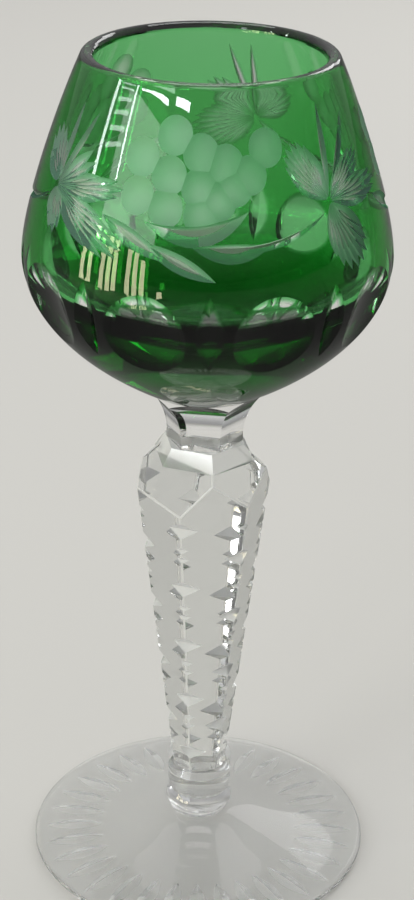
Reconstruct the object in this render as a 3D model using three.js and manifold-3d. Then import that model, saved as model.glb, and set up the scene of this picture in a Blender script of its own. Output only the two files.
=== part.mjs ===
// Hock wine glass: a green cased bowl, cut through to clear crystal, on a notched six-sided stem and a star-cut foot.
// Millimetres, +Z up, axis on Z, the foot standing on z = 0. Azimuth 0 faces -Y and grows towards +X.
import * as THREE from 'three';
import { mergeVertices } from 'three/addons/utils/BufferGeometryUtils.js';
import Module from 'manifold-3d';

const wasm = await Module();
wasm.setup();

// Heights, stacked from the table up
const footHeight = 8.4;
const waferHeight = 5;
const collarHeight = 6;
const shaftHeight = 70.9;
const shoulderHeight = 7.7;
const stripHeight = 3.3;
const neckHeight = 12.4;
const bowlHeight = 71.3;

const waferZ = footHeight;
const collarZ = waferZ + waferHeight;
const shaftZ = collarZ + collarHeight;
const shoulderZ = shaftZ + shaftHeight;
const stripZ = shoulderZ + shoulderHeight;
const neckZ = stripZ + stripHeight;
const bowlZ = neckZ + neckHeight;
const rimZ = bowlZ + bowlHeight;

// Bowl outline
const bowlBaseRadius = 12.4;
const bellyRadius = 38;
const bellyRise = 29.8;
const rimRadius = 25.8;
const rimLean = 24;
const baseSlope = 30;
const baseHandle = 12.3;
const bellyHandleBelow = 13.7;
const bellyHandleAbove = 8.5;
const rimHandle = 12.2;

// Bowl walls: the green casing outside, the clear liner inside it, which is thick and solid under the raised floor
const casingAtBase = 2.4;
const casingAtBelly = 0.6;
const casingAtRim = 0.45;
const casingThins = 0.8;
const casingSeam = 0.05;
const wallAtBelly = 3.6;
const wallAtRim = 3;
const cavityFloor = 18;
const cavityDrop = 9;
const cavityFlat = 0.35;

// Stem
const neckTopRadius = 12.4;
const neckApothem = 7.1;
const neckFluteRadius = 13.8;
const neckStraight = 1.7;
const neckTurn = -7;
const shaftTurn = -20;
const shaftTopRadius = 14.6;
const shaftBottomRadius = 5.9;
const shoulderTopApothem = 9.7;
const stripTopApothem = 8;
const collarRadius = 7.1;
const collarChamfer = 1;
const sides = 6;

// Notches along the shaft's edges: one deep and two shallow in each repeat, shifted by half a repeat on the next edge
const notchPitch = 14.9;
const firstNotchDrop = 5.2;
const deepNotch = 1.9;
const shallowNotch = 0.8;
const shallowDrops = [4.8, 7.2];
const notchMargin = 3;

// Wafer and foot
const waferRadius = 7.5;
const waferEndRadius = 6.6;
const footRadius = 37.9;
const footEdge = 2.2;
const footCrown = 14;
const dishRadius = 20;
const dishDepth = 1.2;
const rayCount = 32;
const rayStart = 22.5;
const rayEnd = 35.2;
const rayWidth = 3.6;
const rayDepth = 0.8;

// Cut band round the belly: round lens cuts with a narrow upright mitre between them
const bandCount = 9;
const bandTurn = 1;
const lensDrop = 5.3;
const lensWidth = 16.6;
const lensTall = 18.5;
const lensHollow = 0.15;
const spearDrop = 4.6;
const spearWidth = 5.4;
const spearTall = 17.5;
const spearDepth = 1.5;

// Vine cutting: three leaves and bunches of grapes spaced by eye, a crescent under each bunch, a tendril from each leaf
const leafAzimuths = [-60, 43, 161];
const bunchAzimuths = [-3, 104, 232];
const leafRise = 19.4;
const bladeDepth = 0.9;
const blades = [
  { turn: 140, to: 12.5, width: 2.6 },
  { turn: 113, to: 12, width: 2.2 },
  { turn: 86, to: 18.5, width: 1.4 },
  { turn: 62, to: 18, width: 1.4 },
  { turn: 36, to: 14.5, width: 2.6 },
  { turn: 12, to: 17.5, width: 3 },
  { turn: -12, to: 16, width: 2.6 },
  { turn: -37, to: 20, width: 3.2 },
  { turn: -63, to: 14, width: 2.6 },
  { turn: -92, to: 9, width: 2.2 },
];
const bladeStart = 3.4;
const grapeRise = 29;
const grapeWidth = 5.2;
const grapeTall = 6.1;
const grapeHollow = 0.8;
const grapePitch = 5.7;
const grapeRowPitch = 6.2;
// Grapes in each column from left to right: how many, and how far the top one hangs below the bunch's top
const bunch = [
  { count: 2, drop: 4.2 },
  { count: 3, drop: 0 },
  { count: 3, drop: 2.5 },
  { count: 2, drop: 4.9 },
  { count: 1, drop: 7 },
];
const crescent = { reach: 20, sag: 2.9, drop: 16.4, tilt: 1.2, width: 3.2, depth: 0.9, share: 0.25 };
const tendril = { start: 3.4, reach: 21, sag: 2, drop: 7.4, width: 2.6, depth: 0.9, share: 0.35 };

// Fineness of the round forms
const bowlSegments = 36;
const lowerRows = 5;
const upperRows = 3;
const cavityRows = 7;
const rimSteps = 3;
const stemSegments = 24;
const footSegments = 48;
const footRows = 4;
const waferRows = 5;
const lensSegments = 10;
const lensRows = 8;
const grapeSegments = 6;
const grapeRows = 6;
const grooveSteps = 3;
const raySteps = 2;
const fluteSteps = 6;
const searchSteps = 40;
const cutterReach = 4;
const cutOverlap = 1;
const notchBreadth = 4;
const fluteBreadth = 4;
const fluteRise = 0.98;
const weld = 1e-3;

const radians = THREE.MathUtils.degToRad;
const degrees = THREE.MathUtils.radToDeg;
const lerp = THREE.MathUtils.lerp;

// Even shares from 0 to 1.
const sharesOf = (count) => Array.from({ length: count + 1 }, (_, step) => step / count);

// Turns a closed three.js geometry into a solid that can be joined and cut.
function solidOf(geometry) {
  const bare = geometry.clone();
  bare.deleteAttribute('normal');
  bare.deleteAttribute('uv');
  const merged = mergeVertices(bare, weld);
  return new wasm.Manifold(new wasm.Mesh({
    numProp: 3,
    vertProperties: new Float32Array(merged.attributes.position.array),
    triVerts: new Uint32Array(merged.index.array),
  }));
}

// Turns a solid back into a geometry.
function geometryOf(solid) {
  const mesh = solid.getMesh();
  const geometry = new THREE.BufferGeometry();
  geometry.setAttribute('position', new THREE.BufferAttribute(new Float32Array(mesh.vertProperties), 3));
  geometry.setIndex(new THREE.BufferAttribute(new Uint32Array(mesh.triVerts), 1));
  return geometry;
}

// Drops the loose chips that crossing cuts leave, and keeps the largest body.
function wholePiece(solid) {
  return solid.decompose().reduce((best, next) => (next.volume() > best.volume() ? next : best));
}

function joined(solids) {
  return solids.reduce((whole, next) => whole.add(next));
}

// A body of revolution about Z from its outline of (radius, height) points.
function turned(points, segments) {
  const geometry = new THREE.LatheGeometry(points, segments);
  geometry.rotateX(Math.PI / 2);
  return solidOf(geometry);
}

// A six-sided taper between two heights, with a corner at the given azimuth. Radii are to the corners.
function sixSided(bottomZ, bottomRadius, topZ, topRadius, cornerAzimuth) {
  const geometry = new THREE.CylinderGeometry(topRadius, bottomRadius, topZ - bottomZ, sides);
  geometry.rotateX(Math.PI / 2);
  geometry.rotateZ(radians(cornerAzimuth));
  geometry.translate(0, 0, (bottomZ + topZ) / 2);
  return solidOf(geometry);
}

// The bowl's outside: one curve from its base to the belly, one from the belly to the foot of the rounded rim.
const leanOut = new THREE.Vector2(Math.cos(radians(rimLean)), Math.sin(radians(rimLean)));
const leanUp = new THREE.Vector2(-leanOut.y, leanOut.x);
const bellyZ = bowlZ + bellyRise;
const wallTop = new THREE.Vector2(rimRadius, rimZ - wallAtRim / 2 + leanOut.y * wallAtRim / 2);
const lowerWall = new THREE.CubicBezierCurve(
  new THREE.Vector2(bowlBaseRadius, bowlZ),
  new THREE.Vector2(
    bowlBaseRadius + baseHandle * Math.cos(radians(baseSlope)),
    bowlZ + baseHandle * Math.sin(radians(baseSlope)),
  ),
  new THREE.Vector2(bellyRadius, bellyZ - bellyHandleBelow),
  new THREE.Vector2(bellyRadius, bellyZ),
);
const upperWall = new THREE.CubicBezierCurve(
  new THREE.Vector2(bellyRadius, bellyZ),
  new THREE.Vector2(bellyRadius, bellyZ + bellyHandleAbove),
  wallTop.clone().addScaledVector(leanUp, -rimHandle),
  wallTop,
);

// A point of the outside at share 0 (base) to 2 (rim), with its outward and upward directions.
function wallPoint(share) {
  const curve = share <= 1 ? lowerWall : upperWall;
  const along = share <= 1 ? share : share - 1;
  const point = curve.getPoint(along);
  const up = curve.getTangent(along);
  return { point, up, out: new THREE.Vector2(up.y, -up.x) };
}

// A point at a depth inside the outside.
function layerPoint(share, depth) {
  const { point, out } = wallPoint(share);
  return point.clone().addScaledVector(out, -depth);
}

const casingAt = (share) => (share > 1
  ? lerp(casingAtBelly, casingAtRim, share - 1)
  : lerp(casingAtBase, casingAtBelly, THREE.MathUtils.smoothstep(share, 0, casingThins)));
const seamAt = (share) => casingAt(share) + casingSeam;
const insideAt = (share) => layerPoint(share, lerp(wallAtBelly, wallAtRim, share - 1));

// The points of one layer from the base up.
function layer(depthAt) {
  const rows = lowerRows + upperRows;
  return Array.from({ length: rows + 1 }, (_, row) => {
    const share = row <= lowerRows ? row / lowerRows : 1 + (row - lowerRows) / upperRows;
    return layerPoint(share, depthAt(share));
  });
}

// The rounded rim between two depths, from the outside in.
function rimArc(fromDepth, toDepth) {
  const radius = wallAtRim / 2;
  const centre = wallTop.clone().addScaledVector(leanOut, -radius);
  const from = Math.acos(1 - fromDepth / radius);
  const to = Math.acos(Math.max(-1, 1 - toDepth / radius));
  return Array.from({ length: rimSteps + 1 }, (_, step) => {
    const angle = lerp(from, to, step / rimSteps);
    return centre.clone()
      .addScaledVector(leanOut, radius * Math.cos(angle))
      .addScaledVector(leanUp, radius * Math.sin(angle));
  });
}

const onAxis = (z) => new THREE.Vector2(0, z);

// The green casing before cutting: a cup whose floor closes on the axis.
function casingBlank() {
  const outside = layer(() => 0).slice(0, -1);
  const inside = layer(casingAt).reverse();
  const floorZ = bowlZ + casingAtBase;
  return turned([onAxis(bowlZ), ...outside, ...rimArc(0, casingAtRim), ...inside, onAxis(floorZ)], bowlSegments);
}

// The bowl's inside from under the rim down: along the wall to the belly, then in to the raised floor.
function cavity() {
  const waist = insideAt(1);
  const floorZ = bowlZ + cavityFloor;
  const hollow = new THREE.CubicBezierCurve(
    waist,
    new THREE.Vector2(waist.x, waist.y - cavityDrop),
    new THREE.Vector2(waist.x * cavityFlat, floorZ),
    onAxis(floorZ),
  );
  const wall = sharesOf(upperRows).slice(1, -1).map((t) => insideAt(2 - t));
  return [...wall, ...hollow.getPoints(cavityRows)];
}

// The clear liner before cutting: the inner cup, a seam away from the casing.
function linerBlank() {
  const under = bowlZ + casingAtBase + casingSeam;
  const rim = rimArc(casingAtRim + casingSeam, wallAtRim);
  return turned([onAxis(under), ...layer(seamAt), ...rim, ...cavity()], bowlSegments);
}

// The spot on the bowl's outside at an azimuth and height: place, outward, sideways and upward directions.
function bowlSpot(azimuth, z) {
  let low = 0;
  let high = 2;
  for (let step = 0; step < searchSteps; step += 1) {
    const middle = (low + high) / 2;
    if (wallPoint(middle).point.y < z) low = middle;
    else high = middle;
  }
  const { point, up, out } = wallPoint(low);
  const turn = radians(azimuth);
  const around = (radius, height) => new THREE.Vector3(radius * Math.sin(turn), -radius * Math.cos(turn), height);
  return {
    azimuth,
    radius: point.x,
    point: around(point.x, point.y),
    out: around(out.x, out.y),
    up: around(up.x, up.y),
    side: new THREE.Vector3(Math.cos(turn), Math.sin(turn), 0),
  };
}

// The spot reached from another by going sideways and up along the surface.
function movedSpot(spot, sideways, upwards) {
  const z = Math.min(spot.point.z + upwards * spot.up.z, wallTop.y);
  return bowlSpot(spot.azimuth + degrees(sideways / spot.radius), z);
}

// An oval hollow ground by a bulging wheel: its outline is width by tall, its floor sinks hollow below its edges.
function ovalCutter(spot, width, tall, hollow, segments, rows) {
  const dropTo = (other) => spot.point.clone().sub(other.point).dot(spot.out);
  const sideDrop = dropTo(movedSpot(spot, width / 2, 0));
  const endDrop = (dropTo(movedSpot(spot, 0, tall / 2)) + dropTo(movedSpot(spot, 0, -tall / 2))) / 2;
  const depth = Math.max(sideDrop, endDrop) + hollow;
  const half = (size, drop) => size / 2 / Math.sqrt(1 - (1 - (depth - drop) / cutterReach) ** 2);
  const geometry = new THREE.SphereGeometry(1, segments, rows);
  geometry.rotateX(Math.PI / 2);
  geometry.scale(half(width, sideDrop), half(tall, endDrop), cutterReach);
  const place = new THREE.Matrix4().makeBasis(spot.side, spot.up, spot.out);
  place.setPosition(spot.point.clone().addScaledVector(spot.out, cutterReach - depth));
  geometry.applyMatrix4(place);
  return solidOf(geometry);
}

// A mitre groove along stations of { point, out }: pointed at both ends, deepest and widest in the middle.
// share is the part of its width that lies to the left of the groove's bottom line.
function mitreCutter(stations, width, depth, share = 0.5) {
  const positions = [];
  const last = stations.length - 1;
  stations.forEach((station, i) => {
    const before = stations[Math.max(i - 1, 0)].point;
    const after = stations[Math.min(i + 1, last)].point;
    const along = after.clone().sub(before).normalize();
    const left = station.out.clone().cross(along).normalize();
    const fullness = 4 * (i / last) * (1 - i / last);
    const spread = width * (fullness + cutOverlap / depth);
    const top = station.point.clone().addScaledVector(station.out, cutOverlap);
    const bottom = station.point.clone().addScaledVector(station.out, -depth * fullness);
    positions.push(...bottom);
    positions.push(...top.clone().addScaledVector(left, -spread * (1 - share)));
    positions.push(...top.clone().addScaledVector(left, spread * share));
  });
  const index = [0, 1, 2, 3 * last, 3 * last + 2, 3 * last + 1];
  for (let i = 0; i < last; i += 1) {
    for (let k = 0; k < 3; k += 1) {
      const a = 3 * i + k;
      const b = 3 * i + (k + 1) % 3;
      index.push(a, b + 3, b, a, a + 3, b + 3);
    }
  }
  const geometry = new THREE.BufferGeometry();
  geometry.setAttribute('position', new THREE.Float32BufferAttribute(positions, 3));
  geometry.setIndex(index);
  return solidOf(geometry);
}

const steps = sharesOf(grooveSteps);

// The lens cuts and the upright mitres between them, round the belly.
function bandCutters() {
  const pitch = 360 / bandCount;
  return Array.from({ length: bandCount }, (_, i) => {
    const spear = bowlSpot(bandTurn + i * pitch, bellyZ - spearDrop);
    const lens = bowlSpot(bandTurn + (i + 0.5) * pitch, bellyZ - lensDrop);
    const stations = steps.map((t) => movedSpot(spear, 0, (t - 0.5) * spearTall));
    return [
      ovalCutter(lens, lensWidth, lensTall, lensHollow, lensSegments, lensRows),
      mitreCutter(stations, spearWidth, spearDepth),
    ];
  }).flat();
}

// One leaf's fan of mitre cuts about its junction.
function leafCutters(junction) {
  return blades.map(({ turn, to, width }) => {
    const stations = steps.map((t) => {
      const reach = lerp(bladeStart, to, t);
      return movedSpot(junction, reach * Math.cos(radians(turn)), reach * Math.sin(radians(turn)));
    });
    return mitreCutter(stations, width, bladeDepth);
  });
}

// One bunch of round shallow cuts, column by column.
function grapeCutters(middle) {
  return bunch.flatMap(({ count, drop }, column) => Array.from({ length: count }, (_, row) => {
    const sideways = (column - (bunch.length - 1) / 2) * grapePitch;
    const spot = movedSpot(middle, sideways, -drop - row * grapeRowPitch);
    return ovalCutter(spot, grapeWidth, grapeTall, grapeHollow, grapeSegments, grapeRows);
  }));
}

// The crescent that cradles the grapes.
function crescentCutter(middle) {
  const stations = steps.map((t) => {
    const offset = t - 0.5;
    const sag = crescent.sag * (1 - 4 * offset * offset);
    return movedSpot(middle, offset * crescent.reach, offset * 2 * crescent.tilt - crescent.drop - sag);
  });
  return mitreCutter(stations, crescent.width, crescent.depth, crescent.share);
}

// The tendril that hangs from a leaf's junction towards the bunch on its left.
function tendrilCutter(junction) {
  const stations = steps.map((t) => {
    const fall = tendril.drop * t + tendril.sag * 4 * t * (1 - t);
    return movedSpot(junction, -lerp(tendril.start, tendril.reach, t), -fall);
  });
  return mitreCutter(stations, tendril.width, tendril.depth, tendril.share);
}

function vineCutters() {
  const leaves = leafAzimuths.flatMap((azimuth) => {
    const junction = bowlSpot(azimuth, bellyZ + leafRise);
    return [...leafCutters(junction), tendrilCutter(junction)];
  });
  const bunches = bunchAzimuths.flatMap((azimuth) => {
    const top = bowlSpot(azimuth, bellyZ + grapeRise + grapeTall / 2);
    return [...grapeCutters(top), crescentCutter(top)];
  });
  return [...leaves, ...bunches];
}

// The neck: a drum hollowed by six flutes that flare it out to the bowl.
function neck() {
  const bottom = neckZ - cutOverlap;
  const drum = turned([
    onAxis(bottom),
    new THREE.Vector2(neckTopRadius, bottom),
    new THREE.Vector2(neckTopRadius, bowlZ),
    onAxis(bowlZ),
  ], stemSegments);
  const flute = new THREE.Shape();
  const centre = neckApothem + neckFluteRadius;
  const outside = neckTopRadius + neckFluteRadius;
  const fluteTop = bowlZ + cutOverlap;
  const bendZ = neckZ + neckStraight;
  const rise = Math.min(fluteTop - bendZ, neckFluteRadius * fluteRise);
  flute.moveTo(outside, bottom - cutOverlap);
  flute.lineTo(neckApothem, bottom - cutOverlap);
  flute.lineTo(neckApothem, bendZ);
  flute.absarc(centre, bendZ, neckFluteRadius, Math.PI, Math.PI - Math.asin(rise / neckFluteRadius), true);
  flute.lineTo(outside, bendZ + rise);
  const breadth = fluteBreadth * neckTopRadius;
  const extrude = { depth: breadth, bevelEnabled: false, curveSegments: fluteSteps };
  const flutes = Array.from({ length: sides }, (_, side) => {
    const geometry = new THREE.ExtrudeGeometry(flute, extrude);
    geometry.translate(0, 0, -breadth / 2);
    geometry.rotateX(Math.PI / 2);
    geometry.rotateZ(radians(neckTurn + side * 360 / sides - 90));
    return solidOf(geometry);
  });
  return drum.subtract(joined(flutes));
}

// Six facets that face the shaft's corners and slope in from one apothem and height to another.
function slopingFacets(lowZ, lowApothem, highZ, highApothem) {
  const bottom = shaftZ - cutOverlap;
  const slope = (lowApothem - highApothem) / (highZ - lowZ);
  const cornerAt = (z) => (lowApothem - slope * (z - lowZ)) / Math.cos(Math.PI / sides);
  return sixSided(bottom, cornerAt(bottom), neckZ, cornerAt(neckZ), shaftTurn + 180 / sides);
}

// The shaft: a six-sided taper whose top corners are cut off by sloping shoulder facets, with steeper strips above.
function shaft() {
  const bottom = shaftZ - cutOverlap;
  const growth = (shaftTopRadius - shaftBottomRadius) / shaftHeight;
  const radiusAt = (z) => shaftBottomRadius + growth * (z - shaftZ);
  const prism = sixSided(bottom, radiusAt(bottom), neckZ, radiusAt(neckZ), shaftTurn);
  const shoulders = slopingFacets(shoulderZ, shaftTopRadius, stripZ, shoulderTopApothem);
  const strips = slopingFacets(stripZ, shoulderTopApothem, neckZ, stripTopApothem);
  return { solid: prism.intersect(shoulders).intersect(strips), radiusAt };
}

// The round collar left at the shaft's lower end, chamfered where the facets begin.
function collar() {
  const top = shaftZ + collarChamfer;
  return turned([
    onAxis(collarZ),
    new THREE.Vector2(waferEndRadius, collarZ),
    new THREE.Vector2(collarRadius, collarZ + collarChamfer),
    new THREE.Vector2(collarRadius, shaftZ - collarChamfer),
    new THREE.Vector2(shaftBottomRadius, top),
    onAxis(top),
  ], stemSegments);
}

// A vee across one shaft edge at a height, sunk to a depth below the corner.
function notchCutter(azimuth, z, cornerRadius, depth) {
  const face = 2 * Math.SQRT2 * depth;
  const geometry = new THREE.BoxGeometry(face, notchBreadth * depth, face);
  geometry.rotateY(Math.PI / 4);
  geometry.translate(cornerRadius - depth + face / Math.SQRT2, 0, z);
  geometry.rotateZ(radians(azimuth - 90));
  return solidOf(geometry);
}

// The notches of every edge, down the shaft between its two ends.
function notchCutters(radiusAt) {
  const cutters = [];
  const lowest = shaftZ + notchMargin;
  const highest = shoulderZ - notchMargin;
  const addNotch = (azimuth, z, depth) => {
    if (z > lowest && z < highest) cutters.push(notchCutter(azimuth, z, radiusAt(z), depth));
  };
  for (let edge = 0; edge < sides; edge += 1) {
    const azimuth = shaftTurn + edge * 360 / sides;
    const shift = edge % 2 ? notchPitch / 2 : 0;
    const count = Math.ceil(shaftHeight / notchPitch) + 1;
    for (let repeat = -1; repeat < count; repeat += 1) {
      const z = shoulderZ - firstNotchDrop - shift - repeat * notchPitch;
      addNotch(azimuth, z, deepNotch);
      shallowDrops.forEach((drop) => addNotch(azimuth, z - drop, shallowNotch));
    }
  }
  return cutters;
}

function stem() {
  const { solid, radiusAt } = shaft();
  return solid.add(neck()).add(collar()).subtract(joined(notchCutters(radiusAt)));
}

// The wafer: a rounded bead of glass that joins the stem to the foot.
function wafer() {
  const swell = Array.from({ length: waferRows + 1 }, (_, row) => {
    const t = row / waferRows;
    return new THREE.Vector2(
      waferEndRadius + (waferRadius - waferEndRadius) * Math.sin(Math.PI * t),
      waferZ + waferHeight * t,
    );
  });
  return turned([onAxis(waferZ), ...swell, onAxis(collarZ)], stemSegments);
}

// The foot: a low dome with a rounded edge, flat below but for a shallow dish, with rays cut in the flat.
function foot() {
  const edgeRadius = footEdge / 2;
  const crown = new THREE.CubicBezierCurve(
    new THREE.Vector2(footRadius - edgeRadius, footEdge),
    new THREE.Vector2(footRadius - footCrown, footEdge + dishDepth),
    new THREE.Vector2(waferEndRadius + footCrown / 2, footHeight - dishDepth),
    new THREE.Vector2(waferEndRadius, footHeight),
  );
  const outline = new THREE.Path();
  outline.moveTo(0, dishDepth);
  outline.quadraticCurveTo(dishRadius / 2, dishDepth, dishRadius, 0);
  outline.lineTo(footRadius - edgeRadius, 0);
  outline.absarc(footRadius - edgeRadius, edgeRadius, edgeRadius, -Math.PI / 2, Math.PI / 2, false);
  const points = [...outline.getPoints(footRows), ...crown.getPoints(footRows).slice(1), onAxis(footHeight)];
  const rays = Array.from({ length: rayCount }, (_, ray) => {
    const turn = ray * 2 * Math.PI / rayCount;
    const stations = sharesOf(raySteps).map((t) => {
      const reach = lerp(rayStart, rayEnd, t);
      return {
        point: new THREE.Vector3(reach * Math.sin(turn), -reach * Math.cos(turn), 0),
        out: new THREE.Vector3(0, 0, -1),
      };
    });
    return mitreCutter(stations, rayWidth, rayDepth);
  });
  return turned(points, footSegments).subtract(joined(rays));
}

const greenGlass = new THREE.MeshStandardMaterial({
  color: 0x0b7a2c, roughness: 0.05, metalness: 0, transparent: true, opacity: 0.6,
});
const clearGlass = new THREE.MeshStandardMaterial({
  color: 0xe6ebe8, roughness: 0.03, metalness: 0, transparent: true, opacity: 0.35,
});

const bowlCuts = joined([...bandCutters(), ...vineCutters()]);
const pieces = [
  ['bowl_casing', casingBlank().subtract(bowlCuts), greenGlass],
  ['bowl_liner', linerBlank().subtract(bowlCuts), clearGlass],
  ['stem', stem(), clearGlass],
  ['foot_wafer', wafer(), clearGlass],
  ['foot', foot(), clearGlass],
];

const hockGlass = new THREE.Group();
for (const [name, solid, material] of pieces) {
  const geometry = geometryOf(wholePiece(solid));
  geometry.computeVertexNormals();
  const mesh = new THREE.Mesh(geometry, material);
  mesh.name = name;
  hockGlass.add(mesh);
}

export default hockGlass;
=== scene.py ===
import bisect
import math
import bpy
from mathutils import Matrix, Vector


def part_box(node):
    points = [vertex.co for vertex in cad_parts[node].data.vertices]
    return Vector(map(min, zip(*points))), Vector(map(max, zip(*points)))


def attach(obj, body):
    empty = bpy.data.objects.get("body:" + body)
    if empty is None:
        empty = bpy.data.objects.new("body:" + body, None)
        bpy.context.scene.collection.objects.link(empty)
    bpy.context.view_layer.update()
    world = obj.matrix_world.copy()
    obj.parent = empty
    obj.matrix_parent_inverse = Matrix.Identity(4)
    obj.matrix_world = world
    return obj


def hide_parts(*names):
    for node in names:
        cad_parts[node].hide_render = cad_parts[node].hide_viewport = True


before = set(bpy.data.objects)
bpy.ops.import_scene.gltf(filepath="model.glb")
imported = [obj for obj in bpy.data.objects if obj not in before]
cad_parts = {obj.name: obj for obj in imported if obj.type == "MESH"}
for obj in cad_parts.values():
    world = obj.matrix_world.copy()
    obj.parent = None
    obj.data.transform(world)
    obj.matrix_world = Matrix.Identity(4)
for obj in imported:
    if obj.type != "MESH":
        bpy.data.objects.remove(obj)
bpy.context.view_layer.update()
mm = 0.001
weldGap = 0.002  # points nearer than this, in mm, become one
facing = {"side": 0.2, "slope": 0.5, "flat": 0.9, "near": 0.1}  # least turn of a face, and near in mm
fusedSlot = 1  # the material slot of faces that are fused to the next piece
edgeSlot = 2  # the slot of the stem's softened edges, which carry a pale painted highlight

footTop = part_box("foot")[1].z / mm
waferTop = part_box("foot_wafer")[1].z / mm
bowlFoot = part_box("bowl_casing")[0].z / mm


# small helpers for working by hand

def deselectAll():
    if bpy.context.mode != "OBJECT":
        bpy.ops.object.mode_set(mode="OBJECT")
    bpy.ops.object.select_all(action="DESELECT")


def pick(obj):
    deselectAll()
    obj.select_set(True)
    bpy.context.view_layer.objects.active = obj


def lathe(name, outline, steps):
    deselectAll()
    bpy.ops.mesh.primitive_plane_add(size=mm)  # shrunk to one point, drawn out along the outline, then spun
    piece = bpy.context.object
    piece.name = name
    bpy.ops.object.mode_set(mode="EDIT")
    bpy.ops.mesh.select_all(action="SELECT")
    bpy.ops.mesh.merge(type="CENTER")
    bpy.ops.transform.translate(value=(outline[0].x * mm, 0, outline[0].y * mm))
    for here, there in zip(outline, outline[1:]):
        step = (there - here) * mm
        bpy.ops.mesh.extrude_vertices_move(TRANSFORM_OT_translate={"value": (step.x, 0, step.y)})
    bpy.ops.mesh.select_all(action="SELECT")
    bpy.ops.mesh.spin(steps=steps, angle=2 * math.pi, center=(0, 0, 0), axis=(0, 0, 1))
    bpy.ops.mesh.select_all(action="SELECT")
    bpy.ops.mesh.remove_doubles(threshold=weldGap * mm)
    bpy.ops.mesh.normals_make_consistent(inside=False)
    bpy.ops.object.mode_set(mode="OBJECT")
    return piece


def combine(piece, tools, operation, materials="INDEX"):
    group = bpy.data.collections.new(piece.name + "Tools")
    bpy.context.scene.collection.children.link(group)
    for tool in tools:
        group.objects.link(tool)
    pick(piece)
    step = piece.modifiers.new("combine", "BOOLEAN")
    step.operation = operation
    step.operand_type = "COLLECTION"
    step.collection = group
    step.solver = "MANIFOLD"
    step.material_mode = materials
    bpy.ops.object.modifier_apply(modifier=step.name)
    bpy.data.collections.remove(group)


def clearAway(tools):
    for tool in tools:
        bpy.data.objects.remove(tool)


def finishPiece(piece, smoothAngle):
    pick(piece)
    bpy.ops.object.transform_apply(location=True, rotation=True, scale=True)
    bpy.ops.object.shade_smooth_by_angle(angle=math.radians(smoothAngle))
    print(piece.name, "finished,", len(piece.data.polygons), "faces")


def paint(piece, *materials):
    for material in materials:
        piece.data.materials.append(material)


def markFlatEnds(piece, reach, highZ, lowZ=None):
    for face in piece.data.polygons:
        z = face.center.z / mm
        fused = face.normal.z > facing["flat"] and z > highZ - facing["near"]
        if lowZ is not None:
            fused = fused or (face.normal.z < -facing["flat"] and z < lowZ + facing["near"])
        if fused and math.hypot(face.center.x, face.center.y) < reach * mm:
            face.material_index = fusedSlot


# shader wiring

class Wire:
    def __init__(self, tree, socket=None):
        self.tree = tree
        self.socket = socket

    def node(self, kind, settings=None, inputs=None, output=0):
        made = self.tree.nodes.new(kind)
        for key, value in (settings or {}).items():
            setattr(made, key, value)
        for key, value in (inputs or {}).items():
            if isinstance(value, Wire):
                self.tree.links.new(value.socket, made.inputs[key])
            else:
                made.inputs[key].default_value = value
        return Wire(self.tree, made.outputs[output] if made.outputs else None)

    def math(self, operation, first, second):
        return self.node("ShaderNodeMath", {"operation": operation}, {0: first, 1: second})

    def __add__(self, other):
        return self.math("ADD", self, other)

    def __radd__(self, other):
        return self.math("ADD", other, self)

    def __sub__(self, other):
        return self.math("SUBTRACT", self, other)

    def __rsub__(self, other):
        return self.math("SUBTRACT", other, self)

    def __mul__(self, other):
        return self.math("MULTIPLY", self, other)

    def __rmul__(self, other):
        return self.math("MULTIPLY", other, self)


def newMaterial(name):
    material = bpy.data.materials.new(name)
    material.use_nodes = True
    material.node_tree.nodes.clear()
    return material, Wire(material.node_tree)


noiseMiddle = 0.5  # the average of a noise


def noise(wire, place, scale, detail):
    return wire.node("ShaderNodeTexNoise", None, {"Vector": place, "Scale": scale, "Detail": detail})


def blend(wire, share, first, second):  # a colour Mix has its colours in sockets 6 and 7, its result in 2
    sockets = {"Factor": share, 6: first, 7: second}
    return wire.node("ShaderNodeMix", {"data_type": "RGBA"}, sockets, output=2)


def faceValue(wire, name):
    return wire.node("ShaderNodeAttribute", {"attribute_name": name}, output="Fac")


def crystalSurface(wire, finish, alpha=1.0, matt=0.0, tint=None):
    place = wire.node("ShaderNodeTexCoord", output="Object")
    wave = noise(wire, place, finish["waveScale"], finish["waveDetail"])
    grain = noise(wire, place, finish["grainScale"], finish["grainDetail"])
    height = wave * finish["waveHeight"] + grain * finish["grainHeight"]
    bump = wire.node("ShaderNodeBump", None, {"Height": height, "Strength": 1.0, "Distance": 1.0})
    uneven = (grain - noiseMiddle) * finish["roughnessSpread"]
    return wire.node("ShaderNodeBsdfPrincipled", None, {
        "Base Color": tint or finish["tint"],
        "Roughness": finish["roughness"] + uneven + matt,
        "IOR": finish["ior"],
        "Transmission Weight": 1.0,
        "Alpha": alpha,
        "Normal": bump,
    })


def paleMattOver(wire, surface, share, finish):  # a pale matt layer: the bloom of ground glass on cut and frosted faces, a painted highlight on the stem's edges, notches and strips, and painted light on the foot
    frostAndPaintedLight = wire.node("ShaderNodeBsdfPrincipled", None, {
        "Base Color": finish["paleLayerColour"],
        "Roughness": finish["bloomRoughness"],
        "Specular IOR Level": 0.0,
    })
    return wire.node("ShaderNodeMixShader", None, {0: share, 1: surface, 2: frostAndPaintedLight})


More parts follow.
